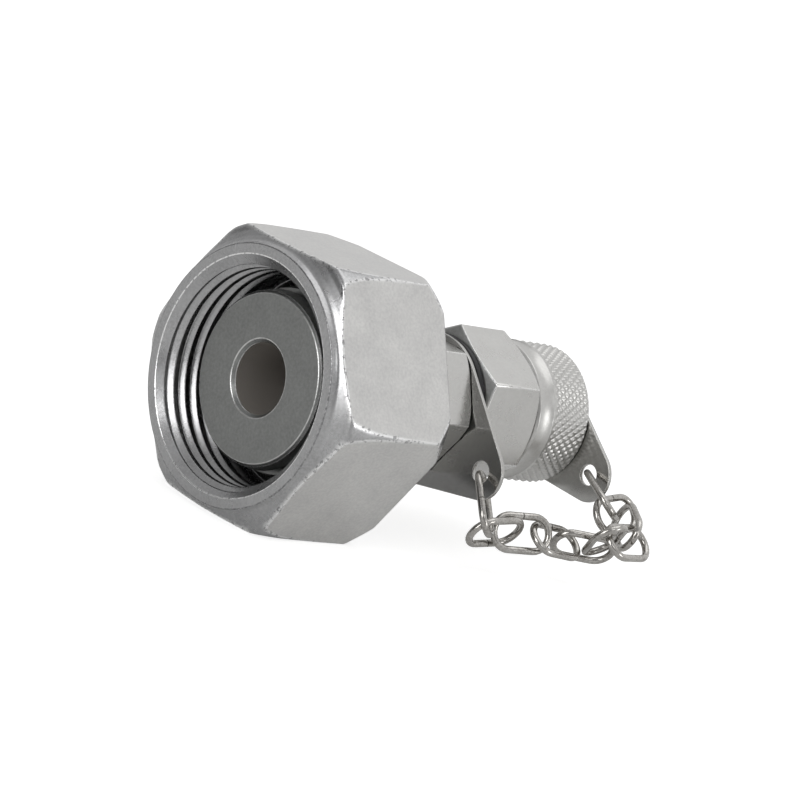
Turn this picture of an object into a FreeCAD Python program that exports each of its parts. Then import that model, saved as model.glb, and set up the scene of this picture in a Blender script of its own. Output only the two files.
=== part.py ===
import FreeCAD, Part
import math
import os

# Test coupling with a 24 degree cone and union nut, a screw cap and its chain.
# Millimetres. +X runs along the axis from the nut's mouth to the cap, +Z is up.
# The origin is on the axis in the plane of the nut's mouth.
# The object lies on one flat of the nut.

# clearances
running = 0.05
plate_gap = 0.3
shoulder_float = 0.3
seal_gap = 0.05

# union nut for a 22 mm tube, thread M30x2
nut_across_flats = 36.0
nut_length = 20.0
nut_turn = 30.0
nut_face_r = 17.05
nut_front_length = 2.1
nut_front_drop = 0.785
nut_front_hollow = 0.5
nut_brow_length = 4.4
nut_brow_drop = 0.235
nut_brow_bow = 0.05
nut_side_bow = 0.05
nut_rear_chamfer_length = 2.4
nut_rear_chamfer_depth = 1.5
thread_minor_r = 13.92
thread_major_r = 15.1
mouth_chamfer_r = 14.9
mouth_chamfer_length = 0.95
thread_length = 10.3
nut_bore_chamfer = 0.5

# cone body
tube_r = 11.0
face_x = 3.66
face_r = 11.4
face_edge_chamfer = 0.35
cone_half_angle = 12.0
cone_length = 7.0
cone_band_length = 1.4
shank_end_x = 22.4
shank_end_chamfer = 1.2
bore_r = 4.65
bore_edge_chamfer = 0.5
small_hex_across_flats = 17.0
small_hex_end_x = 34.5
small_hex_turn = 28.05
small_hex_chamfer = 0.9
small_hex_chamfer_length = 0.54
port_r = 6.58
port_depth = 9.6
port_floor_length = 1.12
port_mouth_chamfer = 0.5

# O-ring in the cone
ring_cord_r = 0.9
ring_stretch_r = 10.35
ring_from_face = 3.0
groove_slack = 0.08

# coupling body
stud_length = 8.4
neck_r = 7.4
large_hex_across_flats = 19.0
large_hex_length = 10.35
large_hex_turn = 1.93
large_hex_front_face_r = 9.35
large_hex_front_chamfer = 0.7
large_hex_rear_chamfer = 1.15
large_hex_rear_face_r = 9.35
nose_thread_r = 8.0
nose_relief_r = 7.2
nose_relief_length = 1.0
nose_length = 8.2
nose_chamfer = 0.8
stud_chamfer = 0.6
chamber_mouth_chamfer = 0.4

# black ring between the plate and the large hexagon
body_seal_r = 9.25
body_seal_width = 0.95

# check valve
chamber_r = 3.6
seat_throat_r = 2.2
seat_from_nose = 6.3
throat_length = 1.3
pilot_r = 4.0
pilot_floor_length = 0.8
pilot_mouth_chamfer = 0.5
port_seal_cord_r = 0.8
port_seal_from_nose = 3.0
retainer_length = 1.6
retainer_from_stud = 3.0
retainer_hole_r = 1.6
poppet_head_r = 3.5
poppet_head_length = 3.6
poppet_stem_r = 1.6
poppet_stem_length = 2.2
poppet_tail_r = 1.3
poppet_tail_length = 5.0
poppet_tail_chamfer = 0.3
poppet_stem_chamfer = 0.4
poppet_stem_ledge = 0.25
poppet_lift_gap = 0.15
poppet_ring_cord_r = 0.5
poppet_ring_from_seat = 1.4
spring_wire_r = 0.28
spring_mean_r = 2.5
spring_turns = 6.0

# screw cap
cap_start_gap = 0.25
cap_band_r = 9.6
cap_band_length = 2.85
cap_r = 9.75
cap_length = 10.55
cap_rim_chamfer = 0.45
cap_band_round = 0.3
cap_bore_chamfer = 0.4
cap_end_wall = 1.9
cap_seal_thickness = 0.6

# sheet plates
plate_thickness = 0.6
plate_turn = -111.0
plate_tip_r = 3.8
plate_hole_r = 1.45
plate_edge_round = 0.12
collar_plate_r = 9.3
collar_plate_shoulder = 2.6
collar_plate_reach = 14.6
cap_plate_r = 7.0
cap_plate_shoulder = 1.1
cap_plate_reach = 12.8

# rivet
rivet_shank_r = 1.6
rivet_head_r = 3.2
rivet_head_height = 1.0
rivet_depth = 1.3

# chain of bent wire links with a butt joint in one side
wire_r = 0.5
link_length = 9.4
link_width = 5.6
link_butt_gap = 0.15

# The links from the collar plate to the cap plate, as they hang in a slack loop.
# Each middle lies off its place on the straight line between the two holes by so many wire thicknesses.
# Then come the way that the link points, its dip below level and its twist, in degrees.
link_places = [
    (-2.5, -2.7, -3.6, -101, 49, 140),
    (-1.7, -3.6, -7.2, -2, -6, -62),
    (0.6, -4.4, -6.9, -18, -6, 71),
    (4.1, -5.9, -7.2, -2, 5, 35),
    (7.0, -6.8, -7.5, -30, -3, -58),
    (5.7, -9.5, -5.5, -130, -36, 33),
    (6.3, -11.3, -5.1, 7, 1, 43),
    (8.0, -7.3, -4.3, 58, -10, -75),
    (5.4, -5.4, -3.4, 7, -7, 52),
    (1.7, -3.3, -1.6, -106, 18, -37),
]

os.makedirs("parts", exist_ok=True)

x_axis = FreeCAD.Vector(1, 0, 0)
centre = FreeCAD.Vector(0, 0, 0)


def save(shape, name):
    shape.exportStep(os.path.join("parts", name + ".step"))


def turned(points):
    # solid of revolution about the axis, from corners given as place along it and radius
    corners = [FreeCAD.Vector(x, 0, r) for x, r in points]
    outline = Part.makePolygon(corners + [corners[0]])
    return Part.Face(outline).revolve(centre, x_axis, 360)


def rod(radius, start, end):
    return Part.makeCylinder(radius, end - start, FreeCAD.Vector(start, 0, 0), x_axis)


def hexagon(across_flats, start, end, turn):
    # prism along the axis, with one corner turned from +Z towards +Y
    corner_r = across_flats / math.sqrt(3)
    corners = []
    for i in range(7):
        a = math.radians(turn + 60 * i)
        corners.append(FreeCAD.Vector(start, corner_r * math.sin(a), corner_r * math.cos(a)))
    return Part.Face(Part.makePolygon(corners)).extrude(FreeCAD.Vector(end - start, 0, 0))


def ring(mean_r, cord_r, x):
    return Part.makeTorus(mean_r, cord_r, FreeCAD.Vector(x, 0, 0), x_axis)


def in_section(x, radius, turn):
    # point at a radius, turned from +Z towards +Y
    a = math.radians(turn)
    return FreeCAD.Vector(x, radius * math.sin(a), radius * math.cos(a))


# places along the axis that several pieces share
cone_end_x = face_x + face_edge_chamfer + cone_length
cone_end_r = face_r + cone_length * math.tan(math.radians(cone_half_angle))
shoulder_x = cone_end_x + cone_band_length
shoulder_end_x = shoulder_x + cone_end_r - tube_r
stud_start_x = small_hex_end_x - stud_length
collar_plate_x = small_hex_end_x + plate_gap
body_seal_x = collar_plate_x + plate_thickness + plate_gap
hex_start_x = body_seal_x + body_seal_width
hex_end_x = hex_start_x + large_hex_length
nose_end_x = hex_end_x + nose_length
cap_start_x = hex_end_x + cap_start_gap
cap_end_x = cap_start_x + cap_length
cap_floor_x = cap_end_x - cap_end_wall
seat_x = nose_end_x - seat_from_nose - throat_length
cap_plate_x = cap_end_x + plate_gap


def bowed(start, end, bow):
    # arc that stands proud of the straight line between two corners of an outline, or hollow below it
    run = end - start
    out = FreeCAD.Vector(-run.z, 0, run.x).normalize()
    return Part.Arc(start, (start + end) / 2 + out * bow, end).toShape()


# union nut: a hexagon whose corners fall away in a long soft brow, then in a hollow down to the mouth
nut_corner_r = nut_across_flats / math.sqrt(3)
nut_rear_bore_r = tube_r + 2 * running
nut_outline = [
    FreeCAD.Vector(0, 0, nut_face_r),
    FreeCAD.Vector(nut_front_length, 0, nut_corner_r - nut_front_drop),
    FreeCAD.Vector(nut_front_length + nut_brow_length, 0, nut_corner_r - nut_brow_drop),
    FreeCAD.Vector(nut_length - nut_rear_chamfer_length, 0, nut_corner_r),
    FreeCAD.Vector(nut_length, 0, nut_corner_r - nut_rear_chamfer_depth),
    FreeCAD.Vector(nut_length, 0, 0),
]
nut_edges = [
    Part.makeLine(centre, nut_outline[0]),
    bowed(nut_outline[0], nut_outline[1], -nut_front_hollow),
    bowed(nut_outline[1], nut_outline[2], nut_brow_bow),
    bowed(nut_outline[2], nut_outline[3], nut_side_bow),
    Part.makeLine(nut_outline[3], nut_outline[4]),
    Part.makeLine(nut_outline[4], nut_outline[5]),
    Part.makeLine(nut_outline[5], centre),
]
nut_blank = Part.Face(Part.Wire(nut_edges)).revolve(centre, x_axis, 360)
nut_shoulder_x = shoulder_x + shoulder_float
undercut_end_x = nut_shoulder_x - (thread_minor_r - cone_end_r)
nut_bore = turned([
    (-mouth_chamfer_length, 0),
    (-mouth_chamfer_length, 2 * mouth_chamfer_r - thread_minor_r),
    (0, mouth_chamfer_r),
    (mouth_chamfer_length, thread_minor_r),
    (thread_length, thread_minor_r),
    (thread_length + (thread_major_r - thread_minor_r) / 2, thread_major_r),
    (undercut_end_x, thread_major_r),
    (undercut_end_x, thread_minor_r),
    (nut_shoulder_x + cone_end_r - nut_rear_bore_r, nut_rear_bore_r),
    (nut_length - nut_bore_chamfer, nut_rear_bore_r),
    (nut_length + nut_bore_chamfer, nut_rear_bore_r + 2 * nut_bore_chamfer),
    (nut_length + nut_bore_chamfer, 0),
])
union_nut = hexagon(nut_across_flats, 0, nut_length, nut_turn).common(nut_blank).cut(nut_bore)
save(union_nut, "union_nut")

# cone body: cone head, shank, small hexagon and the female port for the stud
ring_x = face_x + ring_from_face
shank_end_r = tube_r - shank_end_chamfer
small_hex_corner_r = small_hex_across_flats / math.sqrt(3)
head = turned([
    (face_x, 0),
    (face_x, face_r - face_edge_chamfer),
    (face_x + face_edge_chamfer, face_r),
    (cone_end_x, cone_end_r),
    (shoulder_x, cone_end_r),
    (shoulder_end_x, tube_r),
    (shank_end_x - shank_end_chamfer, tube_r),
    (shank_end_x, shank_end_r),
    (shank_end_x, 0),
])
small_hex = hexagon(small_hex_across_flats, shank_end_x, small_hex_end_x, small_hex_turn)
small_hex_form = turned([
    (shank_end_x, 0),
    (shank_end_x, small_hex_corner_r),
    (small_hex_end_x - small_hex_chamfer_length, small_hex_corner_r),
    (small_hex_end_x, small_hex_corner_r - small_hex_chamfer),
    (small_hex_end_x, 0),
])
port_start_x = small_hex_end_x - port_depth
cone_bore = turned([
    (face_x - 1, 0),
    (face_x - 1, bore_r + bore_edge_chamfer + 1),
    (face_x + bore_edge_chamfer, bore_r),
    (port_start_x - port_floor_length, bore_r),
    (port_start_x, port_r),
    (small_hex_end_x - port_mouth_chamfer, port_r),
    (small_hex_end_x, port_r + port_mouth_chamfer),
    (small_hex_end_x + 1, port_r + port_mouth_chamfer),
    (small_hex_end_x + 1, 0),
])
groove_half = ring_cord_r + groove_slack
ring_groove = rod(cone_end_r + 2, ring_x - groove_half, ring_x + groove_half).cut(
    rod(ring_stretch_r - groove_half, ring_x - 2 * groove_half, ring_x + 2 * groove_half)
)
cone_body = head.fuse(small_hex.common(small_hex_form)).cut(cone_bore).cut(ring_groove)
save(cone_body.removeSplitter(), "cone_body")
save(ring(ring_stretch_r, ring_cord_r, ring_x), "cone_o_ring")

# coupling body: stud, neck for the plate, large hexagon and the threaded nose
large_hex_corner_r = large_hex_across_flats / math.sqrt(3)
stud_r = port_r - running / 2
core = turned([
    (stud_start_x, 0),
    (stud_start_x, stud_r - stud_chamfer),
    (stud_start_x + stud_chamfer, stud_r),
    (small_hex_end_x, stud_r),
    (small_hex_end_x, neck_r),
    (hex_start_x, neck_r),
    (hex_end_x, nose_relief_r),
    (hex_end_x + nose_relief_length, nose_relief_r),
    (hex_end_x + nose_relief_length + nose_thread_r - nose_relief_r, nose_thread_r),
    (nose_end_x - nose_chamfer, nose_thread_r),
    (nose_end_x, nose_thread_r - nose_chamfer),
    (nose_end_x, 0),
])
large_hex_form = turned([
    (hex_start_x, 0),
    (hex_start_x, large_hex_front_face_r),
    (hex_start_x + large_hex_front_chamfer, large_hex_corner_r),
    (hex_end_x - large_hex_rear_chamfer, large_hex_corner_r),
    (hex_end_x, large_hex_rear_face_r),
    (hex_end_x, 0),
])
large_hex = hexagon(large_hex_across_flats, hex_start_x, hex_end_x, large_hex_turn)
port_seal_x = nose_end_x - port_seal_from_nose
port_groove_half = port_seal_cord_r + groove_slack
seat_slope_length = chamber_r - seat_throat_r
coupling_bore = turned([
    (stud_start_x - 1, 0),
    (stud_start_x - 1, chamber_r + chamber_mouth_chamfer),
    (stud_start_x, chamber_r + chamber_mouth_chamfer),
    (stud_start_x + chamber_mouth_chamfer, chamber_r),
    (seat_x - seat_slope_length, chamber_r),
    (seat_x, seat_throat_r),
    (seat_x + throat_length, seat_throat_r),
    (seat_x + throat_length + pilot_floor_length, pilot_r),
    (port_seal_x - port_groove_half, pilot_r),
    (port_seal_x - port_groove_half, pilot_r + port_groove_half),
    (port_seal_x + port_groove_half, pilot_r + port_groove_half),
    (port_seal_x + port_groove_half, pilot_r),
    (nose_end_x - pilot_mouth_chamfer, pilot_r),
    (nose_end_x, pilot_r + pilot_mouth_chamfer),
    (nose_end_x + 1, pilot_r + pilot_mouth_chamfer),
    (nose_end_x + 1, 0),
])
coupling_body = core.fuse(large_hex.common(large_hex_form)).cut(coupling_bore)
save(coupling_body.removeSplitter(), "coupling_body")
save(ring(pilot_r + groove_slack, port_seal_cord_r, port_seal_x), "port_seal")

body_seal = rod(body_seal_r, body_seal_x, hex_start_x).cut(
    rod(neck_r + running / 2, body_seal_x - body_seal_width, hex_start_x + body_seal_width)
)
save(body_seal, "body_seal")

# check valve: retainer ring, spring, and a poppet that closes on the seat's cone
retainer_start_x = stud_start_x + retainer_from_stud
retainer_end_x = retainer_start_x + retainer_length
retainer = rod(chamber_r - running / 5, retainer_start_x, retainer_end_x).cut(
    rod(retainer_hole_r, retainer_start_x - 1, retainer_end_x + 1)
)
save(retainer, "spring_retainer")

cone_front_r = poppet_stem_r + poppet_stem_ledge
poppet_shoulder_x = seat_x - poppet_lift_gap - (poppet_head_r - seat_throat_r)
poppet_cone_end_x = seat_x - poppet_lift_gap + (seat_throat_r - cone_front_r)
head_start_x = poppet_shoulder_x - poppet_head_length
poppet_ring_x = poppet_shoulder_x - poppet_ring_from_seat
poppet_groove_half = poppet_ring_cord_r + groove_slack / 2
poppet_ring_r = chamber_r - poppet_ring_cord_r - running
poppet = turned([
    (head_start_x - poppet_tail_length, 0),
    (head_start_x - poppet_tail_length, poppet_tail_r - poppet_tail_chamfer),
    (head_start_x - poppet_tail_length + poppet_tail_chamfer, poppet_tail_r),
    (head_start_x, poppet_tail_r),
    (head_start_x, poppet_head_r),
    (poppet_ring_x - poppet_groove_half, poppet_head_r),
    (poppet_ring_x - poppet_groove_half, poppet_ring_r - poppet_groove_half),
    (poppet_ring_x + poppet_groove_half, poppet_ring_r - poppet_groove_half),
    (poppet_ring_x + poppet_groove_half, poppet_head_r),
    (poppet_shoulder_x, poppet_head_r),
    (poppet_cone_end_x, cone_front_r),
    (poppet_cone_end_x, poppet_stem_r),
    (poppet_cone_end_x + poppet_stem_length - poppet_stem_chamfer, poppet_stem_r),
    (poppet_cone_end_x + poppet_stem_length, poppet_stem_r - poppet_stem_chamfer),
    (poppet_cone_end_x + poppet_stem_length, 0),
])
save(poppet, "valve_poppet")
save(ring(poppet_ring_r, poppet_ring_cord_r, poppet_ring_x), "poppet_seal")

spring_start_x = retainer_end_x + spring_wire_r + running
spring_length = head_start_x - spring_start_x - spring_wire_r - running
coil = Part.makeHelix(spring_length / spring_turns, spring_length, spring_mean_r)
coil.rotate(centre, FreeCAD.Vector(0, 1, 0), 90)
coil.translate(FreeCAD.Vector(spring_start_x, 0, 0))
coil_start = coil.Edges[0].firstVertex().Point
coil_run = coil.Edges[0].tangentAt(coil.Edges[0].FirstParameter)
section = Part.Wire(Part.Edge(Part.Circle(coil_start, coil_run, spring_wire_r)))
spring = Part.Wire(coil).makePipeShell([section], True, True)
save(spring, "valve_spring")

# screw cap: smooth band, gripping part, blind bore over the nose and a hole for the rivet
cap_bore_r = nose_thread_r + 2 * running
cap = turned([
    (cap_start_x, cap_bore_r + cap_bore_chamfer),
    (cap_start_x, cap_band_r - cap_band_round),
    (cap_start_x + cap_band_round, cap_band_r),
    (cap_start_x + cap_band_length, cap_band_r),
    (cap_start_x + cap_band_length + cap_r - cap_band_r, cap_r),
    (cap_end_x - cap_rim_chamfer, cap_r),
    (cap_end_x, cap_r - cap_rim_chamfer),
    (cap_end_x, rivet_shank_r + running / 5),
    (cap_end_x - rivet_depth, rivet_shank_r + running / 5),
    (cap_end_x - rivet_depth, 0),
    (cap_floor_x, 0),
    (cap_floor_x, cap_bore_r),
    (cap_start_x + cap_bore_chamfer, cap_bore_r),
])
save(cap, "protective_cap")
cap_seal_end_x = cap_floor_x - seal_gap
cap_seal = rod(cap_bore_r - 2 * running, cap_seal_end_x - cap_seal_thickness, cap_seal_end_x)
save(cap_seal, "cap_seal")


def in_plate(start, along, across):
    # point in a plate's plane, along its tip's direction and across it
    return in_section(start, along, plate_turn) + in_section(0, across, plate_turn - 90)


def belt(circles, start):
    # outline pulled tight round circles in a plate's plane: arcs joined by their common tangents
    leaving = []
    for i, (u, v, r) in enumerate(circles):
        next_u, next_v, next_r = circles[(i + 1) % len(circles)]
        lean = math.acos((r - next_r) / math.hypot(next_u - u, next_v - v))
        leaving.append(math.atan2(next_v - v, next_u - u) - lean)
    edges = []
    for i, (u, v, r) in enumerate(circles):
        next_u, next_v, next_r = circles[(i + 1) % len(circles)]
        first = leaving[i - 1]
        last = first + (leaving[i] - first) % (2 * math.pi)
        arc = [
            in_plate(start, u + r * math.cos(a), v + r * math.sin(a))
            for a in (first, (first + last) / 2, last)
        ]
        edges.append(Part.Arc(*arc).toShape())
        landing = in_plate(start, next_u + next_r * math.cos(last), next_v + next_r * math.sin(last))
        edges.append(Part.makeLine(arc[2], landing))
    return Part.Wire(edges)


def tag_plate(big_r, shoulder, reach, hole_r, start):
    # sheet plate: a round eye with a shoulder on one side, and a tip with the chain's hole
    tip = in_plate(start, reach, 0)
    outline = belt([(reach, 0, plate_tip_r), (0, shoulder, big_r), (0, 0, big_r)], start)
    blank = Part.Face(outline).extrude(FreeCAD.Vector(plate_thickness, 0, 0))
    eye = rod(hole_r, start - 1, start + plate_thickness + 1)
    chain_hole = Part.makeCylinder(
        plate_hole_r, plate_thickness + 2, tip - FreeCAD.Vector(1, 0, 0), x_axis
    )
    plate = blank.cut(eye).cut(chain_hole)
    rims = [edge for edge in plate.Edges if edge.BoundBox.XLength < plate_thickness / 2]
    return plate.makeFillet(plate_edge_round, rims)


collar_plate = tag_plate(
    collar_plate_r, collar_plate_shoulder, collar_plate_reach, neck_r + running, collar_plate_x
)
cap_plate = tag_plate(cap_plate_r, cap_plate_shoulder, cap_plate_reach, rivet_shank_r + running, cap_plate_x)
save(collar_plate, "collar_plate")
save(cap_plate, "cap_plate")

# rivet that carries the plate on the cap's end
rivet_head_x = cap_plate_x + plate_thickness + plate_gap
rivet_body = rod(rivet_shank_r, cap_end_x - rivet_depth + running, rivet_head_x)
dome_r = (rivet_head_r ** 2 + rivet_head_height ** 2) / (2 * rivet_head_height)
dome = Part.makeSphere(dome_r, FreeCAD.Vector(rivet_head_x + rivet_head_height - dome_r, 0, 0))
rivet_head = dome.common(rod(rivet_head_r, rivet_head_x, rivet_head_x + rivet_head_height + 1))
save(rivet_body.fuse(rivet_head).removeSplitter(), "cap_rivet")

# chain links: round wire bent to an oval, with the butt joint in the middle of one side
bend_r = link_width / 2 - wire_r
half_side = link_length / 2 - wire_r - bend_r
hole_1 = in_section(collar_plate_x + plate_thickness / 2, collar_plate_reach, plate_turn)
hole_2 = in_section(cap_plate_x + plate_thickness / 2, cap_plate_reach, plate_turn)


def oval_link(mid, heading, dip, twist):
    h = math.radians(heading)
    d = math.radians(dip)
    t = math.radians(twist)
    along = FreeCAD.Vector(math.cos(h) * math.cos(d), math.sin(h) * math.cos(d), -math.sin(d))
    level = FreeCAD.Vector(-math.sin(h), math.cos(h), 0)
    across = level * math.cos(t) + along.cross(level) * math.sin(t)

    def at(x, y):
        return mid + along * x + across * y

    butt = link_butt_gap / 2
    path = Part.Wire([
        Part.makeLine(at(butt, bend_r), at(half_side, bend_r)),
        Part.Arc(at(half_side, bend_r), at(half_side + bend_r, 0), at(half_side, -bend_r)).toShape(),
        Part.makeLine(at(half_side, -bend_r), at(-half_side, -bend_r)),
        Part.Arc(at(-half_side, -bend_r), at(-half_side - bend_r, 0), at(-half_side, bend_r)).toShape(),
        Part.makeLine(at(-half_side, bend_r), at(-butt, bend_r)),
    ])
    end = Part.Wire(Part.Edge(Part.Circle(at(butt, bend_r), along, wire_r)))
    return path.makePipeShell([end], True, False)


for number, (x, y, z, heading, dip, twist) in enumerate(link_places, 1):
    share = number / (len(link_places) + 1)
    mid = hole_1 + (hole_2 - hole_1) * share + FreeCAD.Vector(x, y, z) * 2 * wire_r
    save(oval_link(mid, heading, dip, twist), "chain_link_%02d" % number)
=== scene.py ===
import math

import bmesh
import bpy
import numpy as np
from mathutils import Matrix, Vector


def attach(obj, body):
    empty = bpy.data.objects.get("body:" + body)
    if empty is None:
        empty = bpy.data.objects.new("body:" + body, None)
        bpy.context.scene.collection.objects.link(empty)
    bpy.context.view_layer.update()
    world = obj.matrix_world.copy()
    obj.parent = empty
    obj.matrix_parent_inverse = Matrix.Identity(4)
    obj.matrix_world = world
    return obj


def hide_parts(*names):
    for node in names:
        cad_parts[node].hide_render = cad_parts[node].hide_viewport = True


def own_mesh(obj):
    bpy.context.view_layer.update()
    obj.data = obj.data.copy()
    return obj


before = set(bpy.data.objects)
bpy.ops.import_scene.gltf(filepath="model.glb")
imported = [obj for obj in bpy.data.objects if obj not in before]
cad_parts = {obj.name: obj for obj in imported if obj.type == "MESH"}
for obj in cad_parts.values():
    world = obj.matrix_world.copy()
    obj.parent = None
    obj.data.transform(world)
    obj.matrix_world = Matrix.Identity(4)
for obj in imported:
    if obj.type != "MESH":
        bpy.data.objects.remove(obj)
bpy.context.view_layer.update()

mm = 0.001
fullTurn = 2 * math.pi
hair = 0.01  # mm, past the end of a range or a bore
print("frame loaded:", len(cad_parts), "nodes")


# small helpers for shader and geometry trees

def feed(tree, socket, value):
    # a socket, or a plain value, goes into an input
    if isinstance(value, bpy.types.NodeSocket):
        tree.links.new(value, socket)
    elif value is not None:
        socket.default_value = value


def calc(tree, kind, a, b=None, c=None, clamp=False):
    node = tree.nodes.new("ShaderNodeMath")
    node.operation = kind
    node.use_clamp = clamp
    for socket, value in zip(node.inputs, (a, b, c)):
        feed(tree, socket, value)
    return node.outputs[0]


def remap(tree, value, low, high, toLow=0.0, toHigh=1.0, smooth=False):
    node = tree.nodes.new("ShaderNodeMapRange")
    node.interpolation_type = "SMOOTHSTEP" if smooth else "LINEAR"
    names = ("Value", "From Min", "From Max", "To Min", "To Max")
    for name, given in zip(names, (value, low, high, toLow, toHigh)):
        feed(tree, node.inputs[name], given)
    return node.outputs[0]


# small helpers for meshes and objects

def placed(name, data):
    # at the origin, unturned: a piece's place is in its mesh
    made = bpy.data.objects.new(name, data)
    bpy.context.scene.collection.objects.link(made)
    return made


def cleaned(mesh):
    # doubles merged, faces outward
    work = bmesh.new()
    work.from_mesh(mesh)
    bmesh.ops.remove_doubles(work, verts=work.verts, dist=1e-7)
    bmesh.ops.recalc_face_normals(work, faces=work.faces)
    work.to_mesh(mesh)
    work.free()


def plainMesh(piece):
    bpy.context.view_layer.update()
    return bpy.data.meshes.new_from_object(piece.evaluated_get(bpy.context.evaluated_depsgraph_get()))


# finishes

def noiseOf(tree, scale, detail=3.0, rough=0.5):
    coords = tree.nodes.new("ShaderNodeTexCoord")
    node = tree.nodes.new("ShaderNodeTexNoise")
    node.inputs["Scale"].default_value = scale
    node.inputs["Detail"].default_value = detail
    node.inputs["Roughness"].default_value = rough
    tree.links.new(coords.outputs["Object"], node.inputs["Vector"])
    return node.outputs["Fac"]


def latheRings(tree, pitch):
    # a turning tool's fine marks follow the radius on a face and the length on a side
    coords = tree.nodes.new("ShaderNodeTexCoord")
    parts = tree.nodes.new("ShaderNodeSeparateXYZ")
    tree.links.new(coords.outputs["Object"], parts.inputs[0])
    y2 = calc(tree, "MULTIPLY", parts.outputs["Y"], parts.outputs["Y"])
    z2 = calc(tree, "MULTIPLY", parts.outputs["Z"], parts.outputs["Z"])
    radius = calc(tree, "SQRT", calc(tree, "ADD", y2, z2))
    along = calc(tree, "ADD", radius, parts.outputs["X"])
    line = tree.nodes.new("ShaderNodeTexNoise")
    line.noise_dimensions = "1D"
    line.inputs["Scale"].default_value = 1.0
    line.inputs["Detail"].default_value = 2.0
    tree.links.new(calc(tree, "DIVIDE", along, pitch), line.inputs["W"])
    return line.outputs["Fac"]


def mixColour(tree, share, a, b):
    node = tree.nodes.new("ShaderNodeMix")
    node.data_type = "RGBA"
    feed(tree, node.inputs["Factor"], share)
    for name, colour in (("A", a), ("B", b)):
        socket = [s for s in node.inputs if s.name == name and s.type == "RGBA"][0]
        if isinstance(colour, bpy.types.NodeSocket):
            tree.links.new(colour, socket)
        else:
            socket.default_value = (*colour, 1)
    return [s for s in node.outputs if s.type == "RGBA"][0]


def attributeOf(tree, name):
    node = tree.nodes.new("ShaderNodeAttribute")
    node.attribute_name = name
    return node.outputs["Fac"]


def addBump(tree, shader, height, distance):
    bump = tree.nodes.new("ShaderNodeBump")
    bump.inputs["Strength"].default_value = 1.0
    bump.inputs["Distance"].default_value = distance
    tree.links.new(height, bump.inputs["Height"])
    tree.links.new(bump.outputs["Normal"], shader.inputs["Normal"])


# what all the plated finishes share
plating = {
    "cloudRange": (0.3, 0.7), "cloudShare": 0.45, "cloudRough": (0.9, 1.15),
    "grainRange": (0.35, 0.65), "grainShare": 0.55,
    "turnedTone": (0.82, 1.15), "turnedGrain": 0.6, "ringPitch": 0.0004,
    "pitRange": (0.54, 0.6), "pitWear": (0.02, 0.35), "darkRimRange": (0.4, 0.55),
    "speckColour": (0.10, 0.10, 0.105), "wornRough": 0.8, "drilledMetal": 0.3,
}


def platedSteel(name, look):
    # bright plating: grain, fine rings on turned faces, and rims painted brighter, partly wear and partly a
    # painted highlight, with dark specks
    material = bpy.data.materials.new(name)
    material.use_nodes = True
    tree = material.node_tree
    shader = tree.nodes["Principled BSDF"]
    shader.inputs["Metallic"].default_value = 1.0
    grain = noiseOf(tree, look["grainScale"], detail=4.0, rough=0.6)
    cloud = noiseOf(tree, look["cloudScale"])
    cloudTint = remap(tree, cloud, *plating["cloudRange"], 0.0, plating["cloudShare"])
    grainTint = remap(tree, grain, *plating["grainRange"], 0.0, plating["grainShare"])
    tint = calc(tree, "ADD", cloudTint, grainTint)
    colour = mixColour(tree, tint, look["dark"], look["light"])
    roughs = [look["rough"] * share for share in plating["cloudRough"]]
    rough = remap(tree, cloud, *plating["cloudRange"], *roughs)
    grainHeight = look["grainHeight"]
    height = calc(tree, "MULTIPLY", grain, grainHeight)
    turned = 1.0
    if look.get("turnedDark"):
        turned = attributeOf(tree, "turned")
        tones = [[tone * c for c in look["turnedDark"]] for tone in plating["turnedTone"]]
        colour = mixColour(tree, turned, colour, mixColour(tree, tint, *tones))
        calm = remap(tree, turned, 0.0, 1.0, grainHeight, grainHeight * plating["turnedGrain"])
        height = calc(tree, "MULTIPLY", grain, calm)
        rough = calc(tree, "MULTIPLY", rough, remap(tree, turned, 0.0, 1.0, 1.0, look["turnedRough"]))
    if look.get("ringHeight"):
        depth = calc(tree, "MULTIPLY", turned, look["ringHeight"])
        rings = calc(tree, "MULTIPLY", latheRings(tree, plating["ringPitch"]), depth)
        height = calc(tree, "ADD", height, rings)
    if look.get("edge"):
        edge = attributeOf(tree, "edge")
        shiny = remap(tree, edge, 0.0, 1.0)
        # rims marked below zero get dark specks that darken that edge
        darkRim = remap(tree, edge, 0.0, -1.0)
        speck = noiseOf(tree, look["speckScale"], detail=4.0, rough=0.65)
        pits = remap(tree, speck, *plating["pitRange"], smooth=True)
        dull = calc(tree, "MULTIPLY", pits, remap(tree, shiny, *plating["pitWear"]))
        darkRimSpecks = calc(tree, "MULTIPLY", darkRim, remap(tree, speck, *plating["darkRimRange"]))
        dull = calc(tree, "MAXIMUM", dull, darkRimSpecks)
        # marked rims take a brighter colour: wear, and a painted highlight
        colour = mixColour(tree, calc(tree, "MULTIPLY", shiny, look["edge"]), colour, look["wearAndHighlightColour"])
        colour = mixColour(tree, calc(tree, "MULTIPLY", dull, look["specks"]), colour, plating["speckColour"])
        rough = calc(tree, "MULTIPLY", rough, remap(tree, shiny, 0.0, 1.0, 1.0, plating["wornRough"]))
    if look.get("drilled"):
        drilled = attributeOf(tree, "drilled")
        colour = mixColour(tree, drilled, colour, look["drilled"])
        metal = remap(tree, drilled, 0.0, 1.0, 1.0, plating["drilledMetal"])
        tree.links.new(metal, shader.inputs["Metallic"])
    tree.links.new(colour, shader.inputs["Base Color"])
    tree.links.new(rough, shader.inputs["Roughness"])
    addBump(tree, shader, height, 1.0)
    return material


rubberLook = {
    "dark": (0.012, 0.012, 0.013), "light": (0.03, 0.03, 0.032), "rough": 0.45, "shine": 0.4,
    "cloudScale": 900.0, "bump": 0.00002,
}


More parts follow.
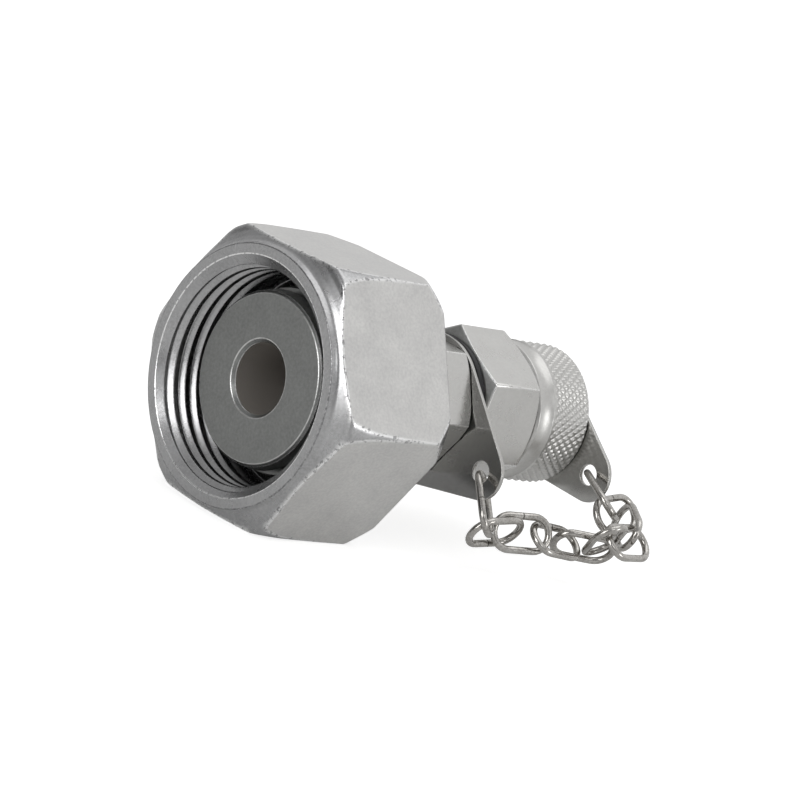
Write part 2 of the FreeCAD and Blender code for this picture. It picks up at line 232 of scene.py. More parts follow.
def blackRubber():
    material = bpy.data.materials.new("sealRubber")
    material.use_nodes = True
    tree = material.node_tree
    shader = tree.nodes["Principled BSDF"]
    shader.inputs["Roughness"].default_value = rubberLook["rough"]
    shader.inputs["Specular IOR Level"].default_value = rubberLook["shine"]
    cloud = noiseOf(tree, rubberLook["cloudScale"], rough=0.6)
    colour = mixColour(tree, cloud, rubberLook["dark"], rubberLook["light"])
    tree.links.new(colour, shader.inputs["Base Color"])
    addBump(tree, shader, cloud, rubberLook["bump"])
    return material


nutLook = {
    "light": (0.75, 0.745, 0.73), "dark": (0.60, 0.595, 0.59), "rough": 0.36,
    "grainScale": 2600.0, "grainHeight": 0.000012, "cloudScale": 260.0,
    "ringHeight": 0.000004, "turnedDark": (0.47, 0.47, 0.475), "turnedRough": 0.75,
    "edge": 1.0, "wearAndHighlightColour": (0.95, 0.95, 0.95), "speckScale": 2300.0, "specks": 0.62,
}
bodyLook = {
    "light": (0.66, 0.655, 0.64), "dark": (0.60, 0.595, 0.58), "rough": 0.28,
    "grainScale": 2200.0, "grainHeight": 0.000006, "cloudScale": 320.0,
    "ringHeight": 0.000003, "turnedDark": (0.48, 0.485, 0.475), "turnedRough": 1.15,
    "edge": 0.9, "wearAndHighlightColour": (0.9, 0.9, 0.89), "speckScale": 1800.0, "specks": 0.3,
    "drilled": (0.36, 0.335, 0.31),
}
# the cone body's turned faces get a much darker copy of the colour: painted shade for the nose, which sits
# inside the nut
coneShadedLook = {**bodyLook, "turnedDark": (0.27, 0.275, 0.27)}
capLook = {
    "light": (0.66, 0.655, 0.64), "dark": (0.56, 0.555, 0.54), "rough": 0.32,
    "grainScale": 2600.0, "grainHeight": 0.000004, "cloudScale": 400.0,
    "ringHeight": 0.000003,
}
sheetLook = {
    "light": (0.56, 0.555, 0.54), "dark": (0.50, 0.495, 0.48), "rough": 0.16,
    "grainScale": 1800.0, "grainHeight": 0.000002, "cloudScale": 240.0,
}
wireLook = {
    "light": (0.64, 0.625, 0.60), "dark": (0.30, 0.285, 0.265), "rough": 0.15,
    "grainScale": 3200.0, "grainHeight": 0.000003, "cloudScale": 420.0,
}
valveLook = {
    "light": (0.64, 0.64, 0.64), "dark": (0.56, 0.56, 0.56), "rough": 0.24,
    "grainScale": 2600.0, "grainHeight": 0.000003, "cloudScale": 500.0,
    "ringHeight": 0.000003,
}
nutSteel = platedSteel("nutPlating", nutLook)
bodySteel = platedSteel("bodyPlating", bodyLook)
coneShadedSteel = platedSteel("conePlatingShaded", coneShadedLook)
capSteel = platedSteel("capPlating", capLook)
sheetSteel = platedSteel("sheetPlating", sheetLook)
wireNickel = platedSteel("chainWire", wireLook)
valveSteel = platedSteel("valveSteel", valveLook)
rubber = blackRubber()
print("finishes ready")


# turned and milled pieces: a profile of (x, radius) corners in mm goes round the axis
turning = {
    "straight": 0.17,  # a corner that turns less stays as it is
    "longest": 0.4,  # share of a side that a round may take
    "guard": 1.2,  # rows beside a round keep its shading to itself
    "roundRows": 5,
    "crowding": 0.12,  # columns crowd near a hexagon's corners
    "steepest": 3,  # the brighter rim (wear and painted highlight) doesn't spread over a face
    "rimBlend": 0.12,  # how soon turned metal gives way to a flat
}


def softCorners(corners, soft, closed=False):
    # a corner is (x, radius, milled, edge mark), and every sharp one gets a small round; a mark above zero
    # paints its rim brighter, wear and painted highlight, and one below zero gives it dark specks
    rows = []
    count = len(corners)
    for i, corner in enumerate(corners):
        here = np.array(corner[:2], float)
        milled = corner[2] if len(corner) > 2 else 0
        edgeMark = corner[3] if len(corner) > 3 else 0
        if not closed and i in (0, count - 1):
            rows.append((*here, milled))
            continue
        before = np.array(corners[i - 1][:2], float) - here
        after = np.array(corners[(i + 1) % count][:2], float) - here
        lengths = np.linalg.norm(before), np.linalg.norm(after)
        turn = abs(before[0] * after[1] - before[1] * after[0]) / (lengths[0] * lengths[1])
        if turn < turning["straight"]:
            rows.append((*here, milled))
            continue
        reach = min(soft, turning["longest"] * lengths[0], turning["longest"] * lengths[1])
        a = before / lengths[0] * reach
        b = after / lengths[1] * reach
        rows.append((*(here + a * turning["guard"]), milled))
        for t in np.linspace(0, 1, turning["roundRows"]):
            rows.append((*(here + a * (1 - t) ** 2 + b * t ** 2), milled, edgeMark))
        rows.append((*(here + b * turning["guard"]), milled))
    return rows


def divided(start, end, steps):
    # rows between two corners, where a milled flat runs across them
    start, end = np.array(start), np.array(end)
    return [(*(start + (end - start) * k / steps), 1) for k in range(1, steps)]


def arcRows(start, end, bow, steps):
    # rows on an arc that stands proud of the straight line by bow
    start, end = np.array(start), np.array(end)
    run = end - start
    out = np.array((-run[1], run[0])) / np.linalg.norm(run)
    t = np.linspace(0, 1, steps + 1)[:, None]
    places = start + run * t + out * bow * 4 * t * (1 - t)
    return [(*p, 1) for p in places]


def evenRows(rows, steps):
    # the same line with evenly spaced rows
    places = np.array([row[:2] for row in rows])
    along = np.concatenate([[0], np.cumsum(np.hypot(*np.diff(places, axis=0).T))])
    even = np.linspace(0, along[-1], steps + 1)
    return [(np.interp(d, along, places[:, 0]), np.interp(d, along, places[:, 1]), 1) for d in even]


def closerRows(rows, start, end, inner, step):
    # more rows where a thread gets cut
    out = [rows[0]]
    for row in rows[1:]:
        last = out[-1]
        within = min(last[0], row[0]) > start and max(last[0], row[0]) < end
        within = within and min(last[1], row[1]) > inner
        parts = math.ceil(abs(row[0] - last[0]) / step) if within else 1
        for t in np.arange(1, parts) / parts:
            out.append((last[0] + (row[0] - last[0]) * t, last[1] + (row[1] - last[1]) * t, 0))
        out.append(row)
    return out


def softMin(a, b, width):
    h = np.maximum(width - np.abs(a - b), 0) / width
    return np.minimum(a, b) - h * h * width / 4, h


def hexRadius(angles, acrossFlats, corner, soft):
    # distance from the axis to a hexagon with one corner at the angle named corner
    half = math.radians(30)
    off = np.radians((np.degrees(angles) - corner) % 60.0)
    left = acrossFlats / 2 / np.cos(off - half)
    beside = acrossFlats / 2 / np.cos(np.where(off < half, off + half, math.radians(90) - off))
    return softMin(left, beside, soft)


def cornerColumns(corner, perSide):
    t = np.arange(perSide) / perSide
    shares = t - turning["crowding"] * np.sin(fullTurn * t)
    return np.radians(np.concatenate([corner + 60 * (k + shares) for k in range(6)]))


def milledHexagon(x, r, milled, edgeMark, angles, hexagon):
    # the flats cut the turned form, and a brighter rim, partly wear and partly a painted highlight, follows
    # them at an even width
    flats, cornerWearAndHighlight = hexRadius(angles, hexagon["acrossFlats"], hexagon["corner"], hexagon["edgeSoft"])
    clipped = softMin(r, flats[None, :], hexagon["rimSoft"])[0]
    steep = np.abs(np.gradient(r[:, 0])) / np.maximum(np.abs(np.gradient(x[:, 0])), 1e-4)
    steep = np.minimum(steep, turning["steepest"])
    lean = np.abs(np.gradient(flats)) / np.gradient(angles) / flats
    reach = np.abs(r - flats[None, :]) / np.maximum(np.hypot(steep[:, None], lean[None, :]), 1e-3)
    rimWearAndHighlight = np.clip(1 - reach / hexagon["edgeWidth"], 0, 1)
    onFlat = 1 / (1 + np.exp(-(r - flats[None, :]) / (turning["rimBlend"] * hexagon["rimSoft"])))
    flatWearAndHighlight = np.where(milled > 0, np.maximum(rimWearAndHighlight, cornerWearAndHighlight[None, :] ** 2 * onFlat), 0)
    edge = np.where(edgeMark < 0, edgeMark, np.maximum(edgeMark, flatWearAndHighlight))
    turned = np.where(milled > 0, 1 - onFlat, 1)
    return np.where(milled > 0, clipped, r), turned, edge


def ringMesh(name, rows, angles, material, closed=True, hexagon=None, drilled=0.0):
    # rows of the profile against columns round the axis, angles from +Z towards +Y
    padded = np.array([(*row, 0, 0)[:4] for row in rows], float)
    x, r, milled, edgeMark = (padded[:, k, None] * np.ones(len(angles)) for k in range(4))
    turned, edge = np.ones_like(r), edgeMark
    if hexagon:
        r, turned, edge = milledHexagon(x, r, milled, edgeMark, angles, hexagon)
    points = np.stack([x, r * np.sin(angles), r * np.cos(angles)], -1).reshape(-1, 3) * mm
    rowCount, columnCount = r.shape
    faces = []
    for j in range(rowCount if closed else rowCount - 1):
        k = (j + 1) % rowCount
        for i in range(columnCount):
            n = (i + 1) % columnCount
            faces.append((j * columnCount + i, j * columnCount + n, k * columnCount + n, k * columnCount + i))
    mesh = bpy.data.meshes.new(name)
    mesh.from_pydata(points.tolist(), [], faces)
    for label, values in (("turned", turned), ("edge", edge), ("drilled", 1.0 * (r < drilled))):
        layer = mesh.attributes.new(label, "FLOAT", "POINT")
        layer.data.foreach_set("value", values.reshape(-1).astype(np.float32))
    cleaned(mesh)
    mesh.polygons.foreach_set("use_smooth", [True] * len(mesh.polygons))
    mesh.materials.append(material)
    return placed(name, mesh)


# geometry trees

def applyTree(piece, tree, values):
    # the tree's result becomes a plain mesh, and the modifier goes
    modifier = piece.modifiers.new(tree.name, "NODES")
    modifier.node_group = tree
    for item in tree.interface.items_tree:
        if item.item_type == "SOCKET" and item.in_out == "INPUT" and item.name in values:
            modifier[item.identifier] = values[item.name]
    mesh = plainMesh(piece)
    piece.modifiers.remove(modifier)
    if piece.type == "MESH":
        piece.data = mesh
        return piece
    made = placed(piece.name + "Made", mesh)
    bpy.data.objects.remove(piece)
    return made


def newTree(name, numbers):
    tree = bpy.data.node_groups.new(name, "GeometryNodeTree")
    tree.interface.new_socket("Geometry", in_out="INPUT", socket_type="NodeSocketGeometry")
    for label in numbers:
        tree.interface.new_socket(label, in_out="INPUT", socket_type="NodeSocketFloat")
    tree.interface.new_socket("Finish", in_out="INPUT", socket_type="NodeSocketMaterial")
    tree.interface.new_socket("Geometry", in_out="OUTPUT", socket_type="NodeSocketGeometry")
    start = tree.nodes.new("NodeGroupInput")
    return tree, {s.name: s for s in start.outputs}


def endTree(tree, geometry, finish):
    realize = tree.nodes.new("GeometryNodeRealizeInstances")
    paint = tree.nodes.new("GeometryNodeSetMaterial")
    out = tree.nodes.new("NodeGroupOutput")
    tree.links.new(geometry, realize.inputs["Geometry"])
    tree.links.new(realize.outputs["Geometry"], paint.inputs["Geometry"])
    tree.links.new(finish, paint.inputs["Material"])
    tree.links.new(paint.outputs["Geometry"], out.inputs[0])


def axisPlaces(tree):
    # x, y and z of every point, its distance from the axis and its share of a turn
    position = tree.nodes.new("GeometryNodeInputPosition")
    parts = tree.nodes.new("ShaderNodeSeparateXYZ")
    tree.links.new(position.outputs[0], parts.inputs[0])
    x, y, z = parts.outputs
    squares = [calc(tree, "MULTIPLY", side, side) for side in (y, z)]
    radius = calc(tree, "SQRT", calc(tree, "ADD", *squares))
    share = calc(tree, "DIVIDE", calc(tree, "ARCTAN2", y, z), fullTurn)
    return x, y, z, radius, share


def scaleRadius(tree, geometry, chosen, x, y, z, radius, target):
    # moves the chosen points in or out to the target radius
    factor = calc(tree, "DIVIDE", target, radius)
    place = tree.nodes.new("ShaderNodeCombineXYZ")
    tree.links.new(x, place.inputs[0])
    tree.links.new(calc(tree, "MULTIPLY", y, factor), place.inputs[1])
    tree.links.new(calc(tree, "MULTIPLY", z, factor), place.inputs[2])
    move = tree.nodes.new("GeometryNodeSetPosition")
    tree.links.new(geometry, move.inputs["Geometry"])
    tree.links.new(chosen, move.inputs["Selection"])
    tree.links.new(place.outputs[0], move.inputs["Position"])
    return move.outputs["Geometry"]


def bothTrue(tree, a, b):
    return calc(tree, "MULTIPLY", a, b)


# shares of the pitch: where the near flank ends, and where the far flank starts and ends
boreGroove = {
    "nearEnd": 0.12, "farStart": 0.38, "farEnd": 0.66, "lastDepth": 0.3, "soft": 0.00008, "reach": 0.00001,
}
noseGroove = {"nearEnd": 0.31, "farStart": 0.56, "farEnd": 0.87, "runIn": 0.0008, "soft": 0.00008}


def grooveOf(tree, turns, form):
    part = calc(tree, "FRACT", turns)
    near = remap(tree, part, 0.0, form["nearEnd"])
    return calc(tree, "MINIMUM", near, remap(tree, part, form["farStart"], form["farEnd"], 1.0, 0.0))


def threadTree():
    # cuts an inside right-hand thread into a plain bore
    tree, given = newTree("insideThread", ("Pitch", "Minor radius", "Major radius", "End", "Turn"))
    x, y, z, radius, share = axisPlaces(tree)
    shifted = calc(tree, "ADD", share, given["Turn"])
    turns = calc(tree, "ADD", calc(tree, "DIVIDE", x, given["Pitch"]), shifted)
    groove = grooveOf(tree, turns, boreGroove)
    lastTurn = calc(tree, "SUBTRACT", given["End"], given["Pitch"])
    runOut = remap(tree, x, lastTurn, given["End"], 1.0, boreGroove["lastDepth"])
    fullDepth = calc(tree, "SUBTRACT", given["Major radius"], given["Minor radius"])
    depth = calc(tree, "MULTIPLY", fullDepth, runOut)
    cut = calc(tree, "ADD", given["Minor radius"], calc(tree, "MULTIPLY", groove, depth))
    target = calc(tree, "SMOOTH_MAX", cut, radius, boreGroove["soft"])
    outermost = calc(tree, "ADD", given["Major radius"], boreGroove["reach"])
    inBore = calc(tree, "LESS_THAN", radius, outermost)
    chosen = bothTrue(tree, inBore, calc(tree, "LESS_THAN", x, given["End"]))
    endTree(tree, scaleRadius(tree, given["Geometry"], chosen, x, y, z, radius, target), given["Finish"])
    return tree


def noseThreadTree():
    # cuts an outside right-hand thread into a plain nose
    tree, given = newTree("outsideThread", ("Pitch", "Core radius", "Crest radius", "Start"))
    x, y, z, radius, share = axisPlaces(tree)
    groove = grooveOf(tree, calc(tree, "ADD", calc(tree, "DIVIDE", x, given["Pitch"]), share), noseGroove)
    runIn = remap(tree, x, given["Start"], calc(tree, "ADD", given["Start"], noseGroove["runIn"]))
    fullDepth = calc(tree, "SUBTRACT", given["Crest radius"], given["Core radius"])
    depth = calc(tree, "MULTIPLY", fullDepth, runIn)
    cut = calc(tree, "SUBTRACT", given["Crest radius"], calc(tree, "MULTIPLY", groove, depth))
    target = calc(tree, "SMOOTH_MIN", cut, radius, noseGroove["soft"])
    onNose = calc(tree, "GREATER_THAN", radius, given["Core radius"])
    chosen = bothTrue(tree, onNose, calc(tree, "GREATER_THAN", x, given["Start"]))
    endTree(tree, scaleRadius(tree, given["Geometry"], chosen, x, y, z, radius, target), given["Finish"])
    return tree


# diamond tips are cut off at the crown, a share of their height
knurlForm = {"crown": 0.85, "crownSoft": 0.2, "ridgeSoft": 0.12, "fadeIn": 0.0009, "fadeOut": 0.0003}


def knurlTree():
    # rolls crossed grooves into the cap's gripping part
    tree, given = newTree("crossedKnurl", ("Teeth", "Lead", "Depth", "Start", "End", "Outside"))
    x, y, z, radius, share = axisPlaces(tree)
    around = calc(tree, "MULTIPLY", share, given["Teeth"])
    along = calc(tree, "DIVIDE", calc(tree, "SUBTRACT", x, given["Start"]), given["Lead"])
    heights = []
    for kind in ("ADD", "SUBTRACT"):
        saw = calc(tree, "FRACT", calc(tree, kind, around, along))
        tent = calc(tree, "ABSOLUTE", calc(tree, "SUBTRACT", calc(tree, "MULTIPLY", saw, 2.0), 1.0))
        heights.append(calc(tree, "SUBTRACT", 1.0, tent))
    hill = calc(tree, "SMOOTH_MIN", heights[0], heights[1], knurlForm["ridgeSoft"])
    hill = calc(tree, "SMOOTH_MIN", hill, knurlForm["crown"], knurlForm["crownSoft"])
    fadeIn = remap(tree, x, given["Start"], calc(tree, "ADD", given["Start"], knurlForm["fadeIn"]))
    lastTip = calc(tree, "SUBTRACT", given["End"], knurlForm["fadeOut"])
    fadeOut = remap(tree, x, lastTip, given["End"], 1.0, 0.0)
    cut = calc(tree, "MULTIPLY", calc(tree, "SUBTRACT", knurlForm["crown"], hill), given["Depth"])
    cut = calc(tree, "MULTIPLY", cut, bothTrue(tree, fadeIn, fadeOut))
    target = calc(tree, "SUBTRACT", radius, cut)
    outside = calc(tree, "GREATER_THAN", radius, given["Outside"])
    pastStart = calc(tree, "GREATER_THAN", x, given["Start"])
    inside = bothTrue(tree, pastStart, calc(tree, "LESS_THAN", x, given["End"]))
    chosen = bothTrue(tree, outside, inside)
    endTree(tree, scaleRadius(tree, given["Geometry"], chosen, x, y, z, radius, target), given["Finish"])
    return tree


def wireTree():
    # a round wire bent along a path, with closed ends
    tree, given = newTree("bentWire", ("Thickness", "Sides"))
    circle = tree.nodes.new("GeometryNodeCurvePrimitiveCircle")
    tree.links.new(given["Sides"], circle.inputs["Resolution"])
    tree.links.new(calc(tree, "DIVIDE", given["Thickness"], 2.0), circle.inputs["Radius"])
    sweep = tree.nodes.new("GeometryNodeCurveToMesh")
    sweep.inputs["Fill Caps"].default_value = True
    tree.links.new(given["Geometry"], sweep.inputs["Curve"])
    tree.links.new(circle.outputs["Curve"], sweep.inputs["Profile Curve"])
    smooth = tree.nodes.new("GeometryNodeSetShadeSmooth")
    tree.links.new(sweep.outputs["Mesh"], smooth.inputs["Geometry"])
    endTree(tree, smooth.outputs["Geometry"], given["Finish"])
    return tree


def fit(piece, body, slot, *nodes):
    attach(piece, body)
    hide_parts(*nodes)


# union nut, in mm
nut = {
    "acrossFlats": 36.0, "corner": 30.0, "edgeSoft": 0.35, "rimSoft": 0.25, "edgeWidth": 0.28, "perSide": 49,
    "length": 20.0, "faceRadius": 17.05, "faceInner": 0.4, "faceSoft": 0.16,
    "mouthRadius": 15.65, "mouthDepth": 1.55, "mouthRound": 0.15, "mouthSoft": 0.12, "mouthStep": 0.05,
    "hollowBends": [(0.82, 17.36), (1.3, 18.1), (1.75, 18.95)], "hollowEnd": (2.1, 20.0),
    "hollowSoft": 0.3, "hollowSteps": 40, "faceRows": 3, "blendBefore": 7, "blendAfter": 3, "blendRows": 9,
    "browEnd": (6.5, 20.55), "browSteps": 26, "sideEnd": (17.6, 20.785), "sideSteps": 24, "bow": 0.05,
    "rearRadius": 19.285, "rearSteps": 12, "flatsInner": 18.4, "rearInner": 17.7, "rearRim": 0.1,
    "boreRadius": 11.1, "boreChamfer": 0.5, "boreSoft": 0.12,
    "undercutRadius": 15.1, "undercutEnd": 11.678, "undercutRise": 0.59,
    "minorRadius": 14.1, "majorRadius": 14.8, "threadEnd": 10.3, "threadTurn": 0.36, "threadStep": 0.06,
    "pitch": 2.0,
}


def nutFront():
    # flat ring, then the hollow, which rounds over into the brow
    face = (0, nut["faceRadius"])
    bends = softCorners([face, *nut["hollowBends"], nut["hollowEnd"]], nut["hollowSoft"])
    hollow = evenRows(bends, nut["hollowSteps"])
    brow = arcRows(nut["hollowEnd"], nut["browEnd"], nut["bow"], nut["browSteps"])
    inner = (0, nut["mouthRadius"] + nut["faceInner"])
    skip, before, after = nut["faceRows"], nut["blendBefore"], nut["blendAfter"]
    # the face ring's outer rim is marked for dark specks
    rows = softCorners([inner, (*face, 0, -1), hollow[skip][:2]], nut["faceSoft"])
    rows += hollow[skip:-before]
    start, turn, end = (np.array(row[:2]) for row in (hollow[-before], hollow[-1], brow[after]))
    for t in np.linspace(0, 1, nut["blendRows"]):
        rows.append((*(start * (1 - t) ** 2 + turn * 2 * t * (1 - t) + end * t ** 2), 1))
    return rows + brow[after + 1:]


def nutBore():
    # from the rear edge, whose outermost rows the flats still cut, through the bore to the thread
    length, bore, chamfer = nut["length"], nut["boreRadius"], nut["boreChamfer"]
    minor, undercut = nut["minorRadius"], nut["undercutRadius"]
    rows = softCorners([
        (length, nut["rearRadius"]), (length, nut["rearInner"]),
        (length, bore + chamfer), (length - chamfer, bore),
        (nut["undercutEnd"] + minor - bore, bore), (nut["undercutEnd"], minor),
        (nut["undercutEnd"], undercut), (nut["threadEnd"] + nut["undercutRise"], undercut),
        (nut["threadEnd"], minor),
    ], nut["boreSoft"])
    rim = length - nut["rearRim"]
    return [(*p[:2], 1 if p[0] > rim and p[1] > nut["flatsInner"] else 0) for p in rows]


def nutMouth():
    # plain thread bore and the chamfer out to the flat ring
    minor, mouth, depth = nut["minorRadius"], nut["mouthRadius"], nut["mouthDepth"]
    step = nut["threadStep"]
    rows = [(x, minor, 0) for x in np.arange(nut["threadEnd"], depth + step / 2, -step)]
    slope = (mouth - minor) / depth
    for x in np.arange(depth, nut["mouthRound"] + hair, -nut["mouthStep"]):
        rows.append((x, mouth - slope * x, 0))
    inner = (nut["mouthRound"], mouth - slope * nut["mouthRound"])
    outer = (0, mouth + nut["faceInner"])
    # the mouth's edge takes the brighter rim colour: wear and a painted highlight
    return rows + softCorners([inner, (0, mouth, 0, 1), outer], nut["mouthSoft"])[:-1]


def buildNut():
    rows = nutFront()
    rows += arcRows(nut["browEnd"], nut["sideEnd"], nut["bow"], nut["sideSteps"])[1:]
    rows += divided(nut["sideEnd"], (nut["length"], nut["rearRadius"]), nut["rearSteps"])
    rows += nutBore() + nutMouth()
    return ringMesh("unionNut", rows, cornerColumns(nut["corner"], nut["perSide"]), nutSteel, hexagon=nut)


unionNut = applyTree(buildNut(), threadTree(), {
    "Pitch": nut["pitch"] * mm, "End": nut["threadEnd"] * mm, "Turn": nut["threadTurn"],
    "Minor radius": nut["minorRadius"] * mm, "Major radius": nut["majorRadius"] * mm, "Finish": nutSteel,
})
fit(unionNut, "nut", "nut_plating", "union_nut")
print("nut cut:", len(unionNut.data.polygons), "faces")


# cone body, with its O-ring's groove
cone = {
    "acrossFlats": 17.0, "corner": 28.05, "edgeSoft": 0.16, "rimSoft": 0.14, "edgeWidth": 0.12, "perSide": 26,
    "faceX": 3.66, "faceRadius": 11.4, "faceChamfer": 0.35, "faceInner": 1.2, "faceRimWearAndHighlight": 0.6, "soft": 0.09,
    "boreRadius": 4.65, "boreChamfer": 0.5, "boreEdgeWearAndHighlight": 0.7,
    "coneEnd": (11.01, 12.888), "bandEnd": 12.41, "tubeRadius": 11.0,
    "ringX": 6.66, "ringHalf": 0.98, "ringFloor": 9.37,
    "shankEnd": 22.4, "shankChamfer": 1.2,
    "hexEnd": 34.62, "hexInner": 8.3, "hexChamfer": 0.9, "hexChamferLength": 0.7, "hexChamferSteps": 12,
    "hexRows": (0.001, 0.06), "hexProud": 0.3, "chamferProud": 0.2, "endStep": 0.05,
    "portRadius": 6.58, "portStart": 24.9, "portChamfer": 0.5, "portFloor": 1.1,
}


def buildCone():
    c = cone
    x0, chamfer, bore, port = c["faceX"], c["faceChamfer"], c["boreRadius"], c["portRadius"]
    slope = (c["coneEnd"][1] - c["faceRadius"]) / (c["coneEnd"][0] - x0 - chamfer)

    def onCone(x):
        return (x, c["faceRadius"] + slope * (x - x0 - chamfer))

    ringFront, ringBack = c["ringX"] - c["ringHalf"], c["ringX"] + c["ringHalf"]
    shank, tube = c["shankEnd"], c["tubeRadius"]
    faceInner = (x0, bore + c["faceInner"])
    # the face's rim takes the brighter rim colour: wear and a painted highlight on the dark nose
    rows = softCorners([
        faceInner, (x0, c["faceRadius"] - chamfer, 0, c["faceRimWearAndHighlight"]), (x0 + chamfer, c["faceRadius"], 0, 1),
        onCone(ringFront), (ringFront, c["ringFloor"]), (ringBack, c["ringFloor"]), onCone(ringBack),
        c["coneEnd"], (c["bandEnd"], c["coneEnd"][1]), (c["bandEnd"] + c["coneEnd"][1] - tube, tube),
        (shank - c["shankChamfer"], tube), (shank, tube - c["shankChamfer"]), (shank, c["hexInner"]),
    ], c["soft"])[:-1]
    hexCorner = c["acrossFlats"] / math.sqrt(3)
    end = c["hexEnd"]
    rows += [(shank + dx, hexCorner + c["hexProud"], 1) for dx in c["hexRows"]]
    chamferStart = (end - c["hexChamferLength"], hexCorner + c["chamferProud"])
    chamferEnd = (end, hexCorner - c["hexChamfer"])
    rows += [(*chamferStart, 1)] + divided(chamferStart, chamferEnd, c["hexChamferSteps"])
    rows += [(*chamferEnd, 1), (end, chamferEnd[1] - c["endStep"], 1)]
    # the bore's edge takes the brighter rim colour: wear and a painted highlight
    rows += softCorners([
        (end, c["hexInner"]), (end, port + c["portChamfer"]), (end - c["portChamfer"], port),
        (c["portStart"], port), (c["portStart"] - c["portFloor"], bore),
        (x0 + c["boreChamfer"], bore, 0, c["boreEdgeWearAndHighlight"]), (x0, bore + c["boreChamfer"], 0, c["boreEdgeWearAndHighlight"]),
        faceInner,
    ], c["soft"])[:-1]
    columns = cornerColumns(c["corner"], c["perSide"])
    return ringMesh("coneBody", rows, columns, coneShadedSteel, hexagon=c, drilled=bore + hair)


coneBody = buildCone()
fit(coneBody, "adapter", "body_plating", "cone_body")


# coupling body: stud, neck, large hexagon and threaded nose
coupling = {
    "acrossFlats": 19.0, "corner": 1.93, "edgeSoft": 0.16, "rimSoft": 0.14, "edgeWidth": 0.12, "perSide": 26,
    "studStart": 26.1, "studEnd": 34.5, "studRadius": 6.55, "studChamfer": 0.6, "neckRadius": 7.4,
    "hexStart": 36.65, "hexEnd": 47.0, "faceRadius": 9.35, "faceInner": 0.8, "soft": 0.08,
    "frontChamfer": 0.7, "frontSteps": 12, "rearChamfer": 1.15, "rearSteps": 16,
    "noseRadius": 8.0, "noseRelief": 7.2, "reliefLength": 1.0, "noseChamfer": 0.8, "noseEnd": 55.2,
    "pitch": 2.0, "coreRadius": 6.8, "rowStep": 0.07, "threadMargin": 0.1, "hexProud": 0.05,
    "pilotRadius": 4.0, "pilotChamfer": 0.5, "sealX": 52.2, "sealHalf": 0.88,
    "seatX": 47.6, "throatRadius": 2.2, "throatLength": 1.3, "pilotFloor": 0.8,
    "chamberRadius": 3.6, "chamberChamfer": 0.4,
}


def buildCoupling():
    c = coupling
    hexCorner = c["acrossFlats"] / math.sqrt(3)
    stud, neck, chamber = c["studStart"], c["neckRadius"], c["chamberRadius"]
    studInner = (stud, chamber + c["faceInner"])
    front = (c["hexStart"], c["faceRadius"])
    rows = softCorners([
        studInner, (stud, c["studRadius"] - c["studChamfer"]), (stud + c["studChamfer"], c["studRadius"]),
        (c["studEnd"], c["studRadius"]), (c["studEnd"], neck), (c["hexStart"], neck), front,
    ], c["soft"])
    frontEnd = (c["hexStart"] + c["frontChamfer"], hexCorner + c["hexProud"])
    rearStart = (c["hexEnd"] - c["rearChamfer"], hexCorner + c["hexProud"])
    rear = (c["hexEnd"], c["faceRadius"])
    rows += divided(front, frontEnd, c["frontSteps"]) + [(*frontEnd, 1), (*rearStart, 1)]
    rows += divided(rearStart, rear, c["rearSteps"])
    nose, relief, pilot, throat = c["noseRadius"], c["noseRelief"], c["pilotRadius"], c["throatRadius"]
    reliefEnd, end, seat = c["hexEnd"] + c["reliefLength"], c["noseEnd"], c["seatX"]
    throatEnd = seat + c["throatLength"]
    sealFront, sealBack = c["sealX"] - c["sealHalf"], c["sealX"] + c["sealHalf"]
    sealFloor = pilot + c["sealHalf"]
    rows += softCorners([
        (*rear, 1), (c["hexEnd"], relief), (reliefEnd, relief), (reliefEnd + nose - relief, nose),
        (end - c["noseChamfer"], nose), (end, nose - c["noseChamfer"]), (end, pilot + c["pilotChamfer"]),
        (end - c["pilotChamfer"], pilot), (sealBack, pilot), (sealBack, sealFloor), (sealFront, sealFloor),
        (sealFront, pilot), (throatEnd + c["pilotFloor"], pilot), (throatEnd, throat), (seat, throat),
        (seat - (chamber - throat), chamber), (stud + c["chamberChamfer"], chamber),
        (stud, chamber + c["chamberChamfer"]), studInner,
    ], c["soft"])[:-1]
    margin = c["threadMargin"]
    rows = closerRows(rows, reliefEnd - margin, end + hair, relief - margin, c["rowStep"])
    return ringMesh("couplingBody", rows, cornerColumns(c["corner"], c["perSide"]), bodySteel, hexagon=c)


couplingBody = applyTree(buildCoupling(), noseThreadTree(), {
    "Pitch": coupling["pitch"] * mm, "Core radius": coupling["coreRadius"] * mm,
    "Crest radius": coupling["noseRadius"] * mm, "Finish": bodySteel,
    "Start": (coupling["hexEnd"] + coupling["reliefLength"]) * mm,
})
fit(couplingBody, "adapter", "body_plating", "coupling_body")

seal = {"start": 35.7, "width": 0.95, "radius": 9.25, "hole": 7.42, "soft": 0.25, "columns": 128}
evenColumns = np.arange(seal["columns"]) / seal["columns"] * fullTurn
sealRows = softCorners([
    (seal["start"], seal["hole"]), (seal["start"], seal["radius"]),
    (seal["start"] + seal["width"], seal["radius"]), (seal["start"] + seal["width"], seal["hole"]),
], seal["soft"], closed=True)
bodySeal = ringMesh("bodySeal", sealRows, evenColumns, rubber)
fit(bodySeal, "adapter", "seal_rubber", "body_seal")
print("cone and coupling bodies turned")


# screw cap with its knurl
cap = {
    "start": 47.25, "bandRadius": 9.6, "bandLength": 2.85, "bandRound": 0.3,
    "gripRadius": 9.75, "gripRise": 0.12, "gripStep": 0.1, "end": 57.98, "rim": 0.6, "soft": 0.1,
    "floor": 55.9, "boreRadius": 8.1, "boreChamfer": 0.4, "rivetHole": 1.61, "rivetDepth": 1.3,
    "floorInner": 1.0, "gripInset": 0.2, "rimInset": 0.05, "rimRow": 0.06, "rivetInner": 0.5,
    "teeth": 54, "lead": 1.5, "depth": 0.3, "perTooth": 9, "knurlInset": 0.1, "knurlRim": 0.5,
}


